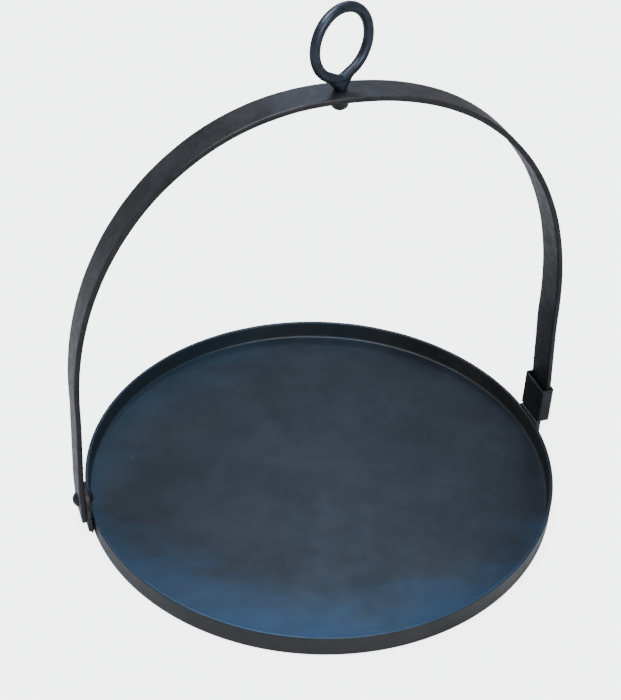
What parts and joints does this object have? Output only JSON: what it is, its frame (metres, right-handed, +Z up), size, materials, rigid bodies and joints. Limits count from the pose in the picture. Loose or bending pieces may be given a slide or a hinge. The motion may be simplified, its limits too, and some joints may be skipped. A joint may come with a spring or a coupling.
{
  "type": "hanging griddle",
  "caption": "Round, low-rimmed steel griddle hung from a folding strap bail, with a sliding collar that locks the bail upright and a swivel ring to hang it by.",
  "frame": {"origin": "centre of the plate's underside", "axes": "+Z up from the plate, +X along the bail's folding axis towards the locking collar, +Y the side the bail folds to"},
  "size_m": [0.3732, 0.35, 0.3736],
  "materials": {
    "pan_steel": "oiled blue-black, smooth and a little glossy",
    "bar_steel": "oiled black mill scale with lighter worn edges",
    "collar_steel": "oiled black sheet with lighter worn edges",
    "ring_steel": "oiled blue-grey round bar",
    "rivet_steel": "oiled hammered rivet",
    "weld_metal": "blackened rippled weld"
  },
  "bodies": {
    "pan": {"griddle_pan": "pan_steel", "left_pivot_lug": "bar_steel", "right_lock_tab": "bar_steel", "left_lug_weld_front": "weld_metal", "left_lug_weld_back": "weld_metal", "right_tab_weld_front": "weld_metal", "right_tab_weld_back": "weld_metal", "left_pivot_rivet": "rivet_steel", "right_pivot_rivet": "rivet_steel"},
    "bail": {"bail_strap": "bar_steel"},
    "collar": {"locking_collar": "collar_steel"},
    "ring": {"swivel_rivet": "rivet_steel", "hanging_ring": "ring_steel"}
  },
  "joints": [
    {"name": "bail_fold", "type": "hinge", "parent": "pan", "child": "bail", "pos_m": [0, 0, 0.0264], "axis": [-1, 0, 0], "range_deg": [0, 90]},
    {"name": "collar_slide", "type": "slide", "parent": "bail", "child": "collar", "axis": [0, 0, 1], "range_m": [0, 0.0405]},
    {"name": "ring_swivel", "type": "hinge", "parent": "bail", "child": "ring", "pos_m": [0.0044, 0, 0.3482], "axis": [0, 0, 1], "continuous": true}
  ],
  "couplings": [
    {"joint": "collar_slide", "follows": "bail_fold", "m_per_rad": 0.02575}
  ]
}
